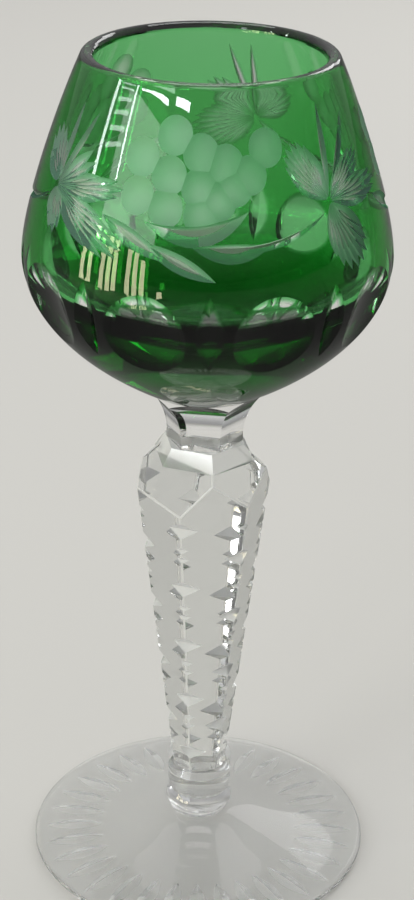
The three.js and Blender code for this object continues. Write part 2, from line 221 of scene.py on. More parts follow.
polished = {
    "tint": (1.0, 1.0, 1.0, 1.0),
    "waveScale": 90.0,
    "waveDetail": 1.0,
    "waveHeight": 0.00002,
    "grainScale": 900.0,
    "grainDetail": 3.0,
    "grainHeight": 0.0000004,
    "roughness": 0.012,
    "roughnessSpread": 0.02,
    "frostAndPaintedLight": 0.0,
    "paleLayerColour": (0.88, 0.9, 0.87, 1.0),
    "bloomRoughness": 0.8,
    "ior": 1.54,
}
wheelCut = dict(polished, waveScale=260.0, waveHeight=0.00001, grainScale=1500.0, roughness=0.03)
ground = dict(
    polished, grainScale=1900.0, grainHeight=0.000006,
    roughness=0.6, roughnessSpread=0.16, frostAndPaintedLight=0.14)
flank = dict(
    wheelCut, grainScale=1900.0, grainHeight=0.000004,
    roughness=0.3, roughnessSpread=0.1, frostAndPaintedLight=0.1)
frosted = dict(
    polished, grainScale=2600.0, grainHeight=0.00002,
    roughness=0.42, roughnessSpread=0.18, frostAndPaintedLight=0.14, paleLayerColour=(0.46, 0.95, 0.68, 1.0))
# painted shade: a grey tint darkens the clear stem and collar
stemGlassPaintedShade = dict(polished, tint=(0.84, 0.85, 0.84, 1.0))
# painted highlight: a pale matt layer on the stem's bevelled edges and notch faces stands in for their
# glints
edgeHighlightPaint = dict(polished, roughness=0.15, frostAndPaintedLight=0.3)
# painted highlight: a pale matt layer on the shoulder strips stands in for the window mirrored in them
stripHighlightPaint = dict(polished, roughness=0.06, frostAndPaintedLight=0.3)
# painted light: a pale matt layer brightens the clear foot, standing in for light that comes through it
footGlassPaintedLight = dict(polished, ior=1.22, frostAndPaintedLight=0.1)
footStar = dict(ground, ior=1.22, frostAndPaintedLight=0.16)
casingGlass = {
    "colour": (0.18, 0.77, 0.3, 1.0),
    "density": 3900.0,
    "paintedShadeLow": (0.1, 0.22, 0.14, 1.0),  # painted shade: a darker tint towards the bottom of the bowl, fading out between the two heights
    "deepFoot": 129.0,
    "deepTop": 140.0,
}


def crystalMaterial(name, finish):
    material, wire = newMaterial(name)
    surface = crystalSurface(wire, finish)
    if finish["frostAndPaintedLight"]:
        surface = paleMattOver(wire, surface, finish["frostAndPaintedLight"], finish)
    wire.node("ShaderNodeOutputMaterial", None, {"Surface": surface})
    return material


def casingMaterial():
    material, wire = newMaterial("greenCasing")
    place = wire.node("ShaderNodeTexCoord", output="Object")
    height = wire.node("ShaderNodeSeparateXYZ", None, {"Vector": place}, output="Z")
    rise = wire.node("ShaderNodeMapRange", {"interpolation_type": "SMOOTHSTEP"}, {
        "Value": height,
        "From Min": casingGlass["deepFoot"] * mm,
        "From Max": casingGlass["deepTop"] * mm,
    })
    # painted shade darkens the casing towards the bottom of the bowl
    tint = blend(wire, rise, casingGlass["paintedShadeLow"], polished["tint"])
    glass = crystalSurface(wire, polished, 1 - faceValue(wire, "fused"), faceValue(wire, "matt"), tint)
    surface = paleMattOver(wire, glass, faceValue(wire, "frostAndPaintedLight"), frosted)
    green = wire.node("ShaderNodeVolumeAbsorption", None, {
        "Color": casingGlass["colour"],
        "Density": casingGlass["density"],
    })
    wire.node("ShaderNodeOutputMaterial", None, {"Surface": surface, "Volume": green})
    return material


def fusedMaterial():
    material, wire = newMaterial("fusedJoin")
    through = wire.node("ShaderNodeBsdfTransparent")
    wire.node("ShaderNodeOutputMaterial", None, {"Surface": through})
    return material


clearCrystal = crystalMaterial("clearCrystal", polished)
cutCrystal = crystalMaterial("cutCrystal", wheelCut)
groundCrystal = crystalMaterial("groundCrystal", ground)
flankCrystal = crystalMaterial("flankCrystal", flank)
frostedCrystal = crystalMaterial("frostedCrystal", frosted)
stemCrystalPaintedShade = crystalMaterial("stemCrystalPaintedShade", stemGlassPaintedShade)
edgeHighlightCrystal = crystalMaterial("edgeHighlightCrystal", edgeHighlightPaint)
stripHighlightCrystal = crystalMaterial("stripHighlightCrystal", stripHighlightPaint)
footCrystalPaintedLight = crystalMaterial("footCrystalPaintedLight", footGlassPaintedLight)
footCuts = crystalMaterial("footCuts", footStar)
greenCasing = casingMaterial()
fusedJoin = fusedMaterial()
print("materials ready")


# bowl outline, in millimetres, as (radius, height)

bowl = {
    "height": 71.3,
    "baseRadius": 12.4,
    "bellyRadius": 38.0,
    "bellyRise": 29.8,
    "rimRadius": 25.8,
    "rimLean": 24.0,
    "baseSlope": 30.0,
    "baseHandle": 12.3,
    "bellyHandleBelow": 13.7,
    "bellyHandleAbove": 8.5,
    "rimHandle": 12.2,
    "casingAtBase": 2.4,
    "casingAtBelly": 0.6,
    "casingAtRim": 0.45,
    "casingThins": 0.8,
    "wallAtBelly": 3.6,
    "wallAtRim": 3.0,
    "cavityFloor": 18.0,
    "cavityDrop": 9.0,
    "cavityFlat": 0.35,
    "seam": 0.02,
    "lowerRows": 34,
    "upperRows": 30,
    "rimRows": 10,
    "segments": 240,
    "smoothAngle": 9.0,
}
bellyZ = bowlFoot + bowl["bellyRise"]
rimZ = bowlFoot + bowl["height"]
rimTurn = math.radians(bowl["rimLean"])
leanOut = Vector((math.cos(rimTurn), math.sin(rimTurn)))
leanUp = Vector((-leanOut.y, leanOut.x))
rimHalf = bowl["wallAtRim"] / 2
wallTop = Vector((bowl["rimRadius"], rimZ - rimHalf + leanOut.y * rimHalf))
baseTurn = math.radians(bowl["baseSlope"])
baseCorner = Vector((bowl["baseRadius"], bowlFoot))
lowerWall = (
    baseCorner,
    baseCorner + Vector((math.cos(baseTurn), math.sin(baseTurn))) * bowl["baseHandle"],
    Vector((bowl["bellyRadius"], bellyZ - bowl["bellyHandleBelow"])),
    Vector((bowl["bellyRadius"], bellyZ)),
)
upperWall = (
    Vector((bowl["bellyRadius"], bellyZ)),
    Vector((bowl["bellyRadius"], bellyZ + bowl["bellyHandleAbove"])),
    wallTop - leanUp * bowl["rimHandle"],
    wallTop,
)


def mix(a, b, t):
    return a + (b - a) * t


def bezier(a, b, c, d, t):
    s = 1 - t
    return a * s ** 3 + b * (3 * s * s * t) + c * (3 * s * t * t) + d * t ** 3


# a share of the wall runs from 0 at the base over 1 at the belly to 2 under the rim
def wallAt(share):  # the point there, the way up along the wall and the way out of it
    a, b, c, d = lowerWall if share <= 1 else upperWall
    t = share if share <= 1 else share - 1
    s = 1 - t
    up = ((b - a) * (s * s) + (c - b) * (2 * s * t) + (d - c) * (t * t)).normalized()
    return bezier(a, b, c, d, t), up, Vector((up.y, -up.x))


def casingDepth(share):
    if share > 1:
        return mix(bowl["casingAtBelly"], bowl["casingAtRim"], share - 1)
    t = min(share / bowl["casingThins"], 1.0)
    return mix(bowl["casingAtBase"], bowl["casingAtBelly"], t * t * (3 - 2 * t))


def linerDepth(share):
    return casingDepth(share) + bowl["seam"]


def layer(depthAt):
    lower = [row / bowl["lowerRows"] for row in range(bowl["lowerRows"])]
    upper = [1 + row / bowl["upperRows"] for row in range(bowl["upperRows"] + 1)]
    points = []
    for share in lower + upper:
        point, up, out = wallAt(share)
        points.append(point - out * depthAt(share))
    return points


def cavity():  # the inside from just under the rim down to the thick floor
    points = []
    for row in range(1, bowl["upperRows"] + 1):
        share = 2 - row / bowl["upperRows"]
        point, up, out = wallAt(share)
        points.append(point - out * mix(bowl["wallAtBelly"], bowl["wallAtRim"], share - 1))
    waist = points.pop()
    floorZ = bowlFoot + bowl["cavityFloor"]
    shape = (
        waist,
        waist - Vector((0, bowl["cavityDrop"])),
        Vector((waist.x * bowl["cavityFlat"], floorZ)),
        Vector((0, floorZ)),
    )
    return points + [bezier(*shape, row / bowl["lowerRows"]) for row in range(bowl["lowerRows"] + 1)]


def rimArc(fromDepth, toDepth):
    centre = wallTop - leanOut * rimHalf
    start = math.acos(1 - fromDepth / rimHalf)
    stop = math.acos(max(-1.0, 1 - toDepth / rimHalf))
    points = []
    for row in range(bowl["rimRows"] + 1):
        angle = mix(start, stop, row / bowl["rimRows"])
        points.append(centre + (leanOut * math.cos(angle) + leanUp * math.sin(angle)) * rimHalf)
    return points


tableSteps = 600
wallShares = [2 * step / tableSteps for step in range(tableSteps + 1)]
wallHeights = [wallAt(share)[0].y for share in wallShares]
wallRuns = [0.0]
for lowShare, highShare in zip(wallShares, wallShares[1:]):
    wallRuns.append(wallRuns[-1] + (wallAt(highShare)[0] - wallAt(lowShare)[0]).length)


def lookUp(keys, values, key):
    spot = min(max(bisect.bisect_left(keys, key), 1), tableSteps)
    t = (key - keys[spot - 1]) / (keys[spot] - keys[spot - 1])
    return mix(values[spot - 1], values[spot], min(max(t, 0.0), 1.0))


def runAtHeight(z):
    return lookUp(wallHeights, wallRuns, z)


def onBowl(azimuth, run, proud=0.0):
    point, up, out = wallAt(lookUp(wallRuns, wallShares, run))
    place = point + out * proud
    turn = math.radians(azimuth)
    return Vector((place.x * math.sin(turn), -place.x * math.cos(turn), place.y)) * mm


def radiusAtRun(run):
    return wallAt(lookUp(wallRuns, wallShares, run))[0].x


# wheels for the bowl: a pointed blade is shaped flat and wrapped on the wall, a round dish is set into it

wheels = {
    "bladeSides": 4,
    "bladeRings": 14,
    "leastGirth": 1e-9,
    "proud": 1.2,
    "dishSegments": 40,
    "dishRings": 24,
    "dishReach": 5.0,
    "outStep": 1.0,  # short steps that find which way is out and up
    "upStep": 0.5,
}


def addBlade(length, width, depth, lean=0.0, finish=None):
    deselectAll()
    bpy.ops.mesh.primitive_uv_sphere_add(
        segments=wheels["bladeSides"], ring_count=wheels["bladeRings"], radius=1,
        rotation=(0, math.pi / 2, 0))
    blade = bpy.context.object
    bpy.ops.object.transform_apply(rotation=True)
    for corner in blade.data.vertices:
        t = corner.co.x
        full = max(1 - t * t, 0.0)
        girth = math.sqrt(full) if full > wheels["leastGirth"] else 1.0
        side = corner.co.y / girth
        rise = corner.co.z / girth
        down = max(-rise, 0.0)
        corner.co.x = t * length / 2
        corner.co.y = (side + lean * down) * full * width / 2
        corner.co.z = rise * full * (depth if rise < 0 else wheels["proud"])
    paint(blade, finish or cutCrystal)
    return blade


def wrapOn(tool, azimuth, z, turn=0.0, middle=(0.0, 0.0), sag=0.0):
    startRun = runAtHeight(z)
    radius = radiusAtRun(startRun)
    c = math.cos(math.radians(turn))
    s = math.sin(math.radians(turn))
    length = max(corner.co.x for corner in tool.data.vertices)
    for corner in tool.data.vertices:
        x, y, proud = corner.co
        y = y - sag * (1 - (x / length) ** 2)
        across = middle[0] + x * c - y * s
        upward = middle[1] + x * s + y * c
        corner.co = onBowl(azimuth + math.degrees(across / radius), startRun + upward, proud)
    return tool


# start and end are millimetres right and up of the spot on the wall
def cutFromTo(azimuth, z, start, end, width, depth, lean=0.0, sag=0.0, finish=None):
    reach = Vector(end) - Vector(start)
    blade = addBlade(reach.length, width, depth, lean, finish)
    centre = (Vector(start) + Vector(end)) / 2
    return wrapOn(blade, azimuth, z, math.degrees(math.atan2(reach.y, reach.x)), centre, sag)


def addDish(azimuth, z, width, tall, hollow, finish):
    run = runAtHeight(z)
    radius = radiusAtRun(run)
    centre = onBowl(azimuth, run)
    above = onBowl(azimuth, run + wheels["upStep"])
    below = onBowl(azimuth, run - wheels["upStep"])
    outward = (onBowl(azimuth, run, wheels["outStep"]) - centre).normalized()
    upward = (above - below).normalized()
    sideways = upward.cross(outward).normalized()
    halfTurn = math.degrees(width / 2 / radius)
    sideDrop = (centre - onBowl(azimuth + halfTurn, run)).dot(outward) / mm
    topDrop = (centre - onBowl(azimuth, run + tall / 2)).dot(outward) / mm
    lowDrop = (centre - onBowl(azimuth, run - tall / 2)).dot(outward) / mm
    endDrop = (topDrop + lowDrop) / 2
    depth = max(sideDrop, endDrop) + hollow
    reach = wheels["dishReach"]
    sizes = []
    for size, drop in ((width, sideDrop), (tall, endDrop)):
        sizes.append(size / 2 / math.sqrt(1 - (1 - (depth - drop) / reach) ** 2))
    deselectAll()
    bpy.ops.mesh.primitive_uv_sphere_add(
        segments=wheels["dishSegments"], ring_count=wheels["dishRings"], radius=mm)
    dish = bpy.context.object
    turn = Matrix((sideways, upward, outward)).transposed().to_4x4()
    size = Matrix.Diagonal((sizes[0], sizes[1], reach, 1))
    dish.data.transform(Matrix.Translation(centre + outward * (reach - depth) * mm) @ turn @ size)
    paint(dish, finish)
    return dish


# band of lens cuts and upright mitres round the belly

band = {
    "count": 9,
    "turn": 1.0,
    "lensDrop": 5.3,
    "lensWidth": 16.8,
    "lensTall": 18.5,
    "lensHollow": 0.15,
    "spearDrop": 4.6,
    "spearWidth": 5.4,
    "spearTall": 17.5,
    "spearDepth": 1.5,
    "spearTurn": 90.0,
}


def bandTools():
    tools = []
    pitch = 360 / band["count"]
    spearZ = bellyZ - band["spearDrop"]
    lensZ = bellyZ - band["lensDrop"]
    for place in range(band["count"]):
        spear = addBlade(band["spearTall"], band["spearWidth"], band["spearDepth"])
        tools.append(wrapOn(spear, band["turn"] + place * pitch, spearZ, band["spearTurn"]))
        between = band["turn"] + (place + 0.5) * pitch
        tools.append(addDish(
            between, lensZ, band["lensWidth"], band["lensTall"], band["lensHollow"], cutCrystal))
    return tools


# vine: three leaves of close blade cuts, each with a tendril, and matt grapes over a crescent

vine = {
    "leafRise": 19.3,
    "bladeStart": 0.6,
    "bladeWidth": 3.0,
    "bladeDepth": 0.66,
    "grooveDepth": 0.85,
    "shortTip": 0.3,
    "veinWidth": 1.8,
    "grapeWidth": 6.8,
    "grapeTall": 7.8,
    "grapeHollow": 0.13,
    "crescentRise": 18.3,
    "steep": 0.6,
    "sweepWidth": 3.4,
    "sweepDepth": 0.9,
    "sweeps": (((14.6, -2.3), (28.3, -9.4)), ((24.0, -6.3), (37.1, -12.9))),  # the long spray to the right
    "tendril": {"start": (-27.2, -5.9), "end": (-1.5, -2.0), "width": 1.5, "sag": 2.6},
    "hook": {"start": (-28.0, -6.4), "end": (-13.8, -6.4), "width": 3.8, "sag": 1.2},
    "crescent": {"start": (-10.2, -1.2), "end": (9.8, 1.3), "width": 4.2, "sag": 3.4},
}
leaves = (  # lobes as degrees round from the right, half spread, cuts, length; veins as degrees, length
    {
        "azimuth": -60.4,
        "bunchAzimuth": -3.4,
        "lobes": (
            (120, 26, 6, 12.5), (38, 6, 2, 18.0), (9, 10, 5, 19.0), (-26, 13, 6, 21.5), (-76, 20, 5, 9.5),
        ),
        "veins": ((84, 17.0), (63, 18.0)),
    },
    {
        "azimuth": 42.8,
        "bunchAzimuth": 104.0,
        "lobes": ((125, 21, 8, 14.4), (34, 14, 6, 14.2), (3, 12, 5, 18.0), (-66, 25, 8, 15.5)),
        "veins": ((84, 18.8), (57, 19.0)),
    },
    {
        "azimuth": 161.3,
        "bunchAzimuth": 232.0,
        "lobes": ((135, 23, 8, 14.2), (38, 20, 7, 15.2), (-18, 29, 10, 16.0)),
        "veins": ((72, 20.0), (90, 19.3), (-140, 9.5)),
    },
)
bunch = (  # degrees right of the bunch's middle, height above the belly
    (-9.2, 32.7), (-20.5, 28.4), (0.5, 29.8), (-10.1, 25.7), (-20.5, 21.6), (9.2, 28.0), (0.2, 23.7),
    (17.3, 25.9), (-10.5, 19.8), (6.8, 21.5), (1.1, 18.9), (12.1, 23.9), (23.9, 30.5),
)


def leafTools(leaf, z):
    tools = []
    cuts = [(turn, length, vine["veinWidth"]) for turn, length in leaf["veins"]]
    for turn, spread, count, length in leaf["lobes"]:
        for place in range(count):
            side = 2 * place / (count - 1) - 1
            shorter = 1 - vine["shortTip"] * side * side
            cuts.append((turn + side * spread, length * shorter, vine["bladeWidth"]))
    for turn, length, width in cuts:
        way = Vector((math.cos(math.radians(turn)), math.sin(math.radians(turn))))
        start = way * vine["bladeStart"]
        end = way * length
        tools.append(cutFromTo(
            leaf["azimuth"], z, start, end, width, vine["bladeDepth"], finish=groundCrystal))
    for start, end in vine["sweeps"]:
        tools.append(cutFromTo(
            leaf["azimuth"], z, start, end, vine["sweepWidth"], vine["sweepDepth"], finish=groundCrystal))
    return tools


def addGroove(azimuth, z, line):
    return cutFromTo(
        azimuth, z, line["start"], line["end"], line["width"], vine["grooveDepth"],
        vine["steep"], line["sag"], flankCrystal)


def vineTools():
    tools = []
    leafZ = bellyZ + vine["leafRise"]
    crescentZ = bellyZ + vine["crescentRise"]
    for leaf in leaves:
        middle = leaf["bunchAzimuth"]
        tools += leafTools(leaf, leafZ)
        tools.append(addGroove(leaf["azimuth"], leafZ, vine["tendril"]))
        tools.append(addGroove(leaf["azimuth"], leafZ, vine["hook"]))
        tools.append(addGroove(middle, crescentZ, vine["crescent"]))
        for turn, rise in bunch:
            tools.append(addDish(
                middle + turn, bellyZ + rise, vine["grapeWidth"], vine["grapeTall"], vine["grapeHollow"],
                frostedCrystal))
    return tools


# the bowl's two layers

def makeBowl():
    casingFloor = bowlFoot + bowl["casingAtBase"]
    casingOutline = [
        Vector((0, bowlFoot)),
        *layer(lambda share: 0)[:-1],
        *rimArc(0, bowl["casingAtRim"]),
        *layer(casingDepth)[::-1],
        Vector((0, casingFloor)),
    ]
    casing = lathe("bowlCasing", casingOutline, bowl["segments"])
    paint(casing, greenCasing)
    linerOutside = layer(linerDepth)
    linerOutline = [
        Vector((0, casingFloor + bowl["seam"])),
        *linerOutside,
        *rimArc(bowl["casingAtRim"] + bowl["seam"], bowl["wallAtRim"]),
        *cavity(),
    ]
    liner = lathe("bowlLiner", linerOutline, bowl["segments"])
    paint(liner, clearCrystal, fusedJoin)
    seamTop = linerOutside[-1].y * mm
    for face in liner.data.polygons:
        out = Vector((face.center.x, face.center.y, 0)).normalized()
        outward = face.normal.dot(out) > facing["side"] or face.normal.z < -facing["slope"]
        if outward and face.center.z < seamTop:
            face.material_index = fusedSlot
    print("bowl turned")
    tools = bandTools() + vineTools()
    print(len(tools), "cutting wheels placed")
    combine(casing, tools, "DIFFERENCE", "TRANSFER")
    combine(liner, tools, "DIFFERENCE", "TRANSFER")
    clearAway(tools)
    markFused(casing)
    return casing, liner


def markFused(casing):  # one material all over, so that the green inside it stays whole
    for name in ("fused", "matt", "frostAndPaintedLight"):
        casing.data.attributes.new(name, "FLOAT", "FACE")
    fused, matt, frostAndPaintedLight = (casing.data.attributes[name] for name in ("fused", "matt", "frostAndPaintedLight"))
    names = [slot.name for slot in casing.data.materials]
    finishes = {frostedCrystal.name: frosted, groundCrystal.name: ground, flankCrystal.name: flank}
    underside = (bowlFoot + facing["near"]) * mm
    stemReach = stem["neckTopRadius"] * mm
    for face in casing.data.polygons:
        flat = Vector((face.center.x, face.center.y, 0))
        outward = face.normal.dot(flat.normalized())
        inside = outward < -facing["side"] or face.normal.z > facing["slope"]
        below = face.normal.z < -facing["flat"] and face.center.z < underside
        hidden = inside or (below and flat.length < stemReach)
        fused.data[face.index].value = 1.0 if hidden and face.center.z < wallTop.y * mm else 0.0
        finish = finishes.get(names[face.material_index])
        if finish:
            matt.data[face.index].value = finish["roughness"]
            frostAndPaintedLight.data[face.index].value = finish["frostAndPaintedLight"]
        face.material_index = 0
    while len(casing.data.materials) > 1:
        casing.data.materials.pop()


# the stem: notched six-sided shaft with cut shoulders, fluted neck above, round collar below

stem = {
    "collarHeight": 6.0,
    "shaftHeight": 70.9,
    "shoulderHeight": 7.7,
    "stripHeight": 3.3,
    "neckTopRadius": 12.4,
    "neckApothem": 7.1,
    "neckFluteRadius": 13.8,
    "neckStraight": 1.7,
    "neckTurn": -7.0,
    "shaftTurn": -20.0,
    "shaftTopRadius": 14.6,
    "shaftBottomRadius": 5.9,
    "shoulderTopApothem": 9.7,
    "stripTopApothem": 7.84,
    "stripSunk": 0.3,
    "collarRadius": 7.1,
    "collarChamfer": 1.0,
    "overlap": 1.0,
    "joinGap": 0.02,
    "edge": 0.28,
    "edgeSegments": 2,
    "edgeAngle": 15.0,
    "notchPitch": 14.9,
    "firstNotchDrop": 5.2,
    "deepNotch": 1.9,
    "shallowNotch": 0.8,
    "shallowDrops": (4.8, 7.2),
    "notchMargin": 3.0,
    "notchBar": 2.0,  # thickness and length of the notching bar, for a depth of 1
    "notchReach": 5.0,
    "cutterReach": 4.0,  # length of the fluting bar, for a neck radius of 1
    "segments": 96,
    "smoothAngle": 6.0,
}
sides = 6
shaftZ = waferTop + stem["collarHeight"]
shoulderZ = shaftZ + stem["shaftHeight"]
stripZ = shoulderZ + stem["shoulderHeight"]
neckZ = stripZ + stem["stripHeight"]


def aimed(azimuth, radius, z):
    turn = math.radians(azimuth)
    return Vector((radius * math.sin(turn), -radius * math.cos(turn), z)) * mm


def shaftRadius(z):
    growth = (stem["shaftTopRadius"] - stem["shaftBottomRadius"]) / stem["shaftHeight"]
    return stem["shaftBottomRadius"] + growth * (z - shaftZ)


# a tapered hexagon with one corner at the azimuth
def sixSided(name, azimuth, lowRadius, lowZ, highRadius, highZ):
    deselectAll()
    bpy.ops.mesh.primitive_cone_add(
        vertices=sides, radius1=lowRadius * mm, radius2=highRadius * mm,
        depth=(highZ - lowZ) * mm, location=(0, 0, (highZ + lowZ) / 2 * mm))
    taper = bpy.context.object
    taper.name = name
    corner = taper.data.vertices[0].co
    wanted = aimed(azimuth, 1, 0)
    taper.rotation_euler = (0, 0, math.atan2(wanted.y, wanted.x) - math.atan2(corner.y, corner.x))
    bpy.ops.object.transform_apply(location=True, rotation=True)
    return taper


def makeShaft():
    bottom = shaftZ - stem["overlap"]
    shaft = sixSided("stem", stem["shaftTurn"], shaftRadius(bottom), bottom, shaftRadius(neckZ), neckZ)
    lean = stem["shaftTopRadius"] - stem["shoulderTopApothem"]
    for side in range(sides):  # a shoulder facet is sliced off each top corner
        azimuth = stem["shaftTurn"] + side * 360 / sides
        way = aimed(azimuth, 1, 0).normalized()
        bpy.ops.object.mode_set(mode="EDIT")
        bpy.ops.mesh.select_all(action="SELECT")
        bpy.ops.mesh.bisect(
            plane_co=aimed(azimuth, stem["shaftTopRadius"], shoulderZ),
            plane_no=way * stem["shoulderHeight"] + Vector((0, 0, lean)),
            use_fill=True, clear_outer=True)
        bpy.ops.object.mode_set(mode="OBJECT")
    # the shaft gets the stem's grey painted shade, and its bevelled edges the pale painted highlight
    paint(shaft, stemCrystalPaintedShade, fusedJoin, edgeHighlightCrystal)
    edge = shaft.modifiers.new("softEdges", "BEVEL")
    edge.material = edgeSlot
    edge.width = stem["edge"] * mm
    edge.segments = stem["edgeSegments"]
    edge.limit_method = "ANGLE"
    edge.angle_limit = math.radians(stem["edgeAngle"])
    bpy.ops.object.modifier_apply(modifier=edge.name)
    return shaft


def makeNeck():
    bottom = neckZ - stem["overlap"]
    top = bowlFoot - stem["joinGap"]
    outer = stem["neckTopRadius"]
    outline = [Vector((0, bottom)), Vector((outer, bottom)), Vector((outer, top)), Vector((0, top))]
    drum = lathe("neck", outline, stem["segments"])
    tools = []
    bendZ = neckZ + stem["neckStraight"]
    fluteCentre = stem["neckApothem"] + stem["neckFluteRadius"]
    fluteLength = stem["cutterReach"] * outer
    for side in range(sides):
        azimuth = stem["neckTurn"] + side * 360 / sides
        deselectAll()
        bpy.ops.mesh.primitive_cylinder_add(
            vertices=stem["segments"], radius=stem["neckFluteRadius"] * mm, depth=fluteLength * mm,
            location=aimed(azimuth, fluteCentre, bendZ), rotation=(0, math.pi / 2, math.radians(azimuth)))
        tools.append(bpy.context.object)
        deselectAll()
        straight = bendZ - bottom + stem["overlap"]
        bpy.ops.mesh.primitive_cube_add(
            size=1, location=aimed(azimuth, fluteCentre, bendZ - straight / 2),
            rotation=(0, 0, math.radians(azimuth)),
            scale=(fluteLength * mm, 2 * stem["neckFluteRadius"] * mm, straight * mm))
        tools.append(bpy.context.object)
    combine(drum, tools, "DIFFERENCE")
    clearAway(tools)
    return drum


def makeStrips():  # the steep ring of strips between the shoulder facets and the neck
    low = stripZ - stem["stripSunk"]
    lean = (stem["shoulderTopApothem"] - stem["stripTopApothem"]) / stem["stripHeight"]
    toCorner = 1 / math.cos(math.pi / sides)
    lowRadius = (stem["shoulderTopApothem"] + lean * stem["stripSunk"]) * toCorner
    highRadius = stem["stripTopApothem"] * toCorner
    return sixSided("strips", stem["shaftTurn"] + 180 / sides, lowRadius, low, highRadius, neckZ)


def makeCollar():
    low = waferTop + stem["joinGap"]
    top = shaftZ + stem["collarChamfer"]
    outline = [
        Vector((0, low)),
        Vector((wafer["endRadius"], low)),
        Vector((stem["collarRadius"], low + stem["collarChamfer"])),
        Vector((stem["collarRadius"], shaftZ - stem["collarChamfer"])),
        Vector((stem["shaftBottomRadius"], top)),
        Vector((0, top)),
    ]
    return lathe("collar", outline, stem["segments"])


def notchTools():
    tools = []
    lowest = shaftZ + stem["notchMargin"]
    highest = shoulderZ - stem["notchMargin"]
    repeats = math.ceil(stem["shaftHeight"] / stem["notchPitch"]) + 1
    for edge in range(sides):
        azimuth = stem["shaftTurn"] + edge * 360 / sides
        shift = stem["notchPitch"] / 2 if edge % 2 else 0
        for repeat in range(-1, repeats):
            deepZ = shoulderZ - stem["firstNotchDrop"] - shift - repeat * stem["notchPitch"]
            cuts = [(deepZ, stem["deepNotch"])]
            cuts += [(deepZ - drop, stem["shallowNotch"]) for drop in stem["shallowDrops"]]
            for z, depth in cuts:
                if lowest < z < highest:
                    tools.append(addNotch(azimuth, z, depth))
    return tools


def addNotch(azimuth, z, depth):  # a square bar laid across the edge, one of its own edges inwards
    face = stem["notchBar"] * math.sqrt(2) * depth
    reach = shaftRadius(z) - depth + face / math.sqrt(2)
    deselectAll()
    bpy.ops.mesh.primitive_cube_add(
        size=1, location=aimed(azimuth, reach, z),
        rotation=(math.pi / 4, 0, math.radians(azimuth)),
        scale=(stem["notchReach"] * depth * mm, face * mm, face * mm))
    notch = bpy.context.object
    # the notch faces get the pale painted highlight of the stem's edges
    paint(notch, edgeHighlightCrystal)
    return notch


def makeStem():
    shaft = makeShaft()
    neck = makeNeck()
    strips = makeStrips()
    collar = makeCollar()
    # the strips carry a pale painted highlight, and the collar the stem's grey painted shade
    for part, finish in ((neck, clearCrystal), (strips, stripHighlightCrystal), (collar, stemCrystalPaintedShade)):
        part.data.materials.clear()
        paint(part, finish)
    combine(shaft, [neck, strips, collar], "UNION", "TRANSFER")
    clearAway([neck, strips, collar])
    tools = notchTools()
    combine(shaft, tools, "DIFFERENCE", "TRANSFER")
    clearAway(tools)
    markFlatEnds(shaft, stem["neckTopRadius"], bowlFoot, waferTop)
    return shaft


# the wafer bead and the star-cut foot

wafer = {
    "radius": 7.5,
    "endRadius": 6.6,
    "rows": 16,
    "segments": 96,
    "joinGap": 0.02,
    "smoothAngle": 30.0,
}
foot = {
    "radius": 37.9,
    "edge": 2.2,
    "crown": 14.0,
    "dishRadius": 20.0,
    "dishDepth": 1.2,
    "rows": 24,
    "segments": 192,
    "rayCount": 32,
    "rayStart": 22.0,
    "rayEnd": 35.4,
    "rayWidth": 3.6,
    "rayDepth": 0.8,
    "smoothAngle": 12.0,
}


def makeWafer():
    low = footTop + wafer["joinGap"]
    outline = [Vector((0, low))]
    for row in range(wafer["rows"] + 1):
        t = row / wafer["rows"]
        swell = (wafer["radius"] - wafer["endRadius"]) * math.sin(math.pi * t)
        outline.append(Vector((wafer["endRadius"] + swell, mix(low, waferTop, t))))
    outline.append(Vector((0, waferTop)))
    bead = lathe("footWafer", outline, wafer["segments"])
    paint(bead, clearCrystal, fusedJoin)
    markFlatEnds(bead, wafer["endRadius"], waferTop, low)
    return bead


def makeFoot():
    half = foot["edge"] / 2
    outline = []
    for row in range(foot["rows"] + 1):
        t = row / foot["rows"]
        outline.append(Vector((t * foot["dishRadius"], foot["dishDepth"] * (1 - t * t))))
    for row in range(foot["rows"] + 1):
        angle = mix(-math.pi / 2, math.pi / 2, row / foot["rows"])
        across = foot["radius"] - half + half * math.cos(angle)
        outline.append(Vector((across, half + half * math.sin(angle))))
    a = Vector((foot["radius"] - half, foot["edge"]))
    b = Vector((foot["radius"] - foot["crown"], foot["edge"] + foot["dishDepth"]))
    c = Vector((wafer["endRadius"] + foot["crown"] / 2, footTop - foot["dishDepth"]))
    d = Vector((wafer["endRadius"], footTop))
    for row in range(1, foot["rows"] + 1):
        t = row / foot["rows"]
        outline.append(bezier(a, b, c, d, t))
    outline.append(Vector((0, footTop)))
    disc = lathe("foot", outline, foot["segments"])
    # the foot gets its pale painted light
    paint(disc, footCrystalPaintedLight, fusedJoin)
    markFlatEnds(disc, wafer["endRadius"], footTop)
    tools = []
    for ray in range(foot["rayCount"]):
        blade = addBlade(foot["rayEnd"] - foot["rayStart"], foot["rayWidth"], foot["rayDepth"], 0, footCuts)
        turn = ray * 360 / foot["rayCount"]
        place = Matrix.Translation(aimed(turn, (foot["rayStart"] + foot["rayEnd"]) / 2, 0))
        lie = Matrix.Rotation(math.radians(turn - 90), 4, "Z") @ Matrix.Rotation(math.pi, 4, "X")  # edge up
        blade.data.transform(place @ lie @ Matrix.Scale(mm, 4))
        tools.append(blade)
    combine(disc, tools, "DIFFERENCE", "TRANSFER")
    clearAway(tools)
    return disc


bowlCasing, bowlLiner = makeBowl()
stemPiece = makeStem()
footWafer = makeWafer()
footPiece = makeFoot()
for piece, node, slot, angle in (
    (bowlCasing, "bowl_casing", "green_casing", bowl["smoothAngle"]),
    (bowlLiner, "bowl_liner", "clear_crystal", bowl["smoothAngle"]),
    (stemPiece, "stem", "clear_crystal", stem["smoothAngle"]),
    (footWafer, "foot_wafer", "clear_crystal", wafer["smoothAngle"]),
    (footPiece, "foot", "clear_crystal", foot["smoothAngle"]),
):
    finishPiece(piece, angle)
    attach(piece, "root")
    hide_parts(node)


# floor, lights and camera

